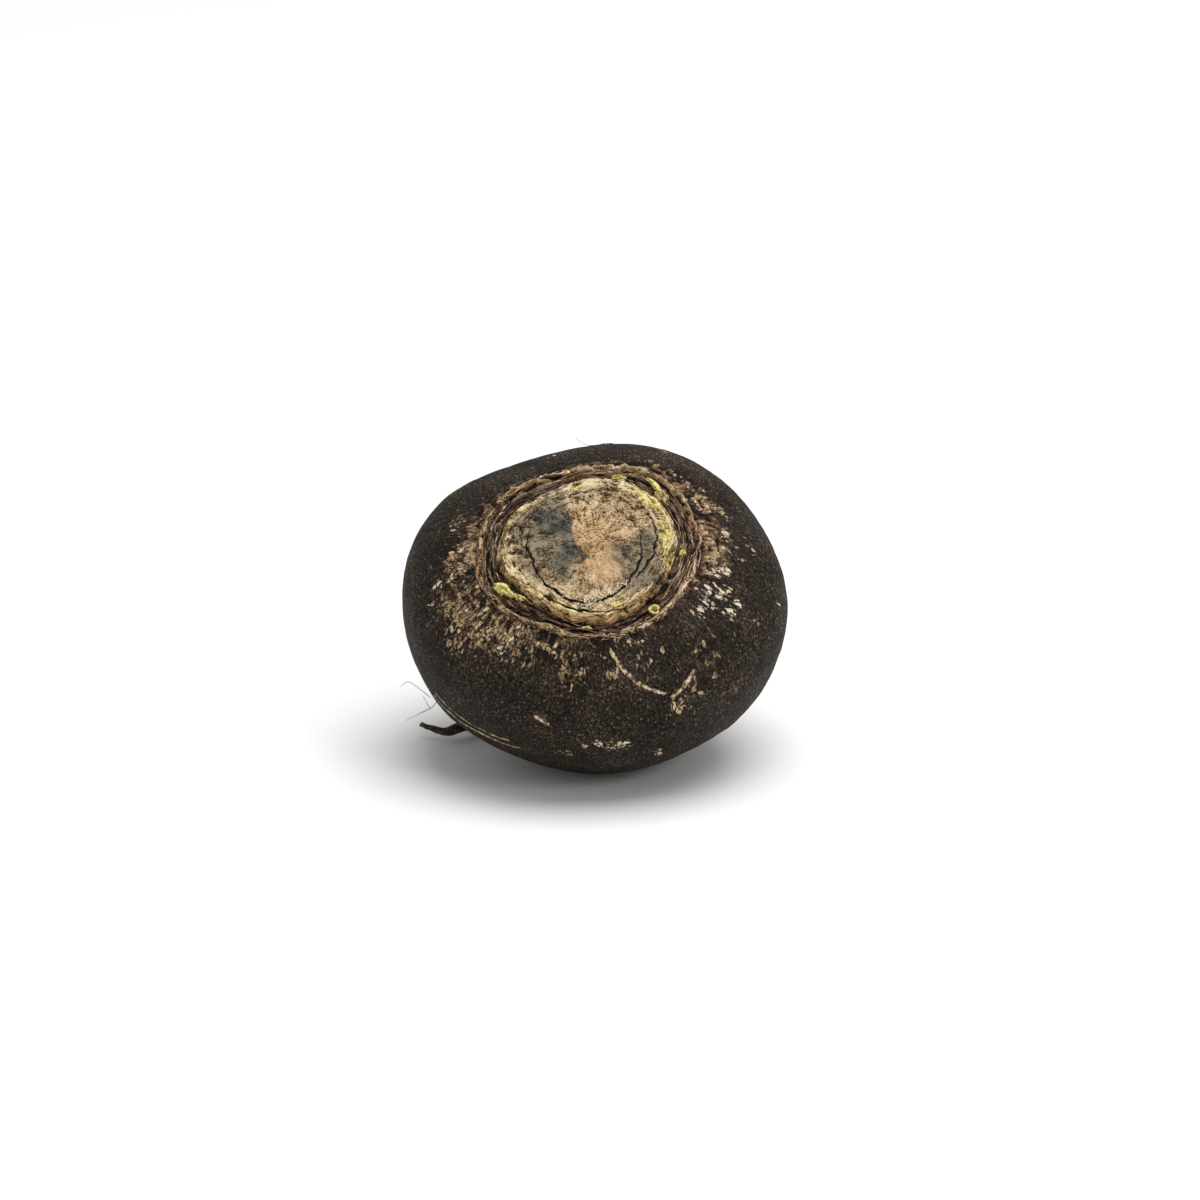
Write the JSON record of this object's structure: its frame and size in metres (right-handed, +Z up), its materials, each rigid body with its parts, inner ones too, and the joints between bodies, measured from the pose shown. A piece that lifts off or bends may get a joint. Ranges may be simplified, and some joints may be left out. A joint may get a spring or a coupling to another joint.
{
  "type": "black radish",
  "caption": "Whole round black radish with its leaves trimmed off: squat lumpy root, corky crown plate in a ringed groove, cut stalk stubs and a thin taproot.",
  "frame": {"origin": "centre of the flattened spot that the root rests on, on the table", "axes": "+Z up from the table, -Y the way the crown is tipped, +X to the right when the crown is looked at"},
  "size_m": [0.0961, 0.0852, 0.0738],
  "materials": {
    "skin": "matte",
    "crown_cork": "matte",
    "leaf_stalk": "matte",
    "root_fibre": "matte"
  },
  "bodies": {
    "root": {"radish_root": "skin"}
  },
  "joints": []
}
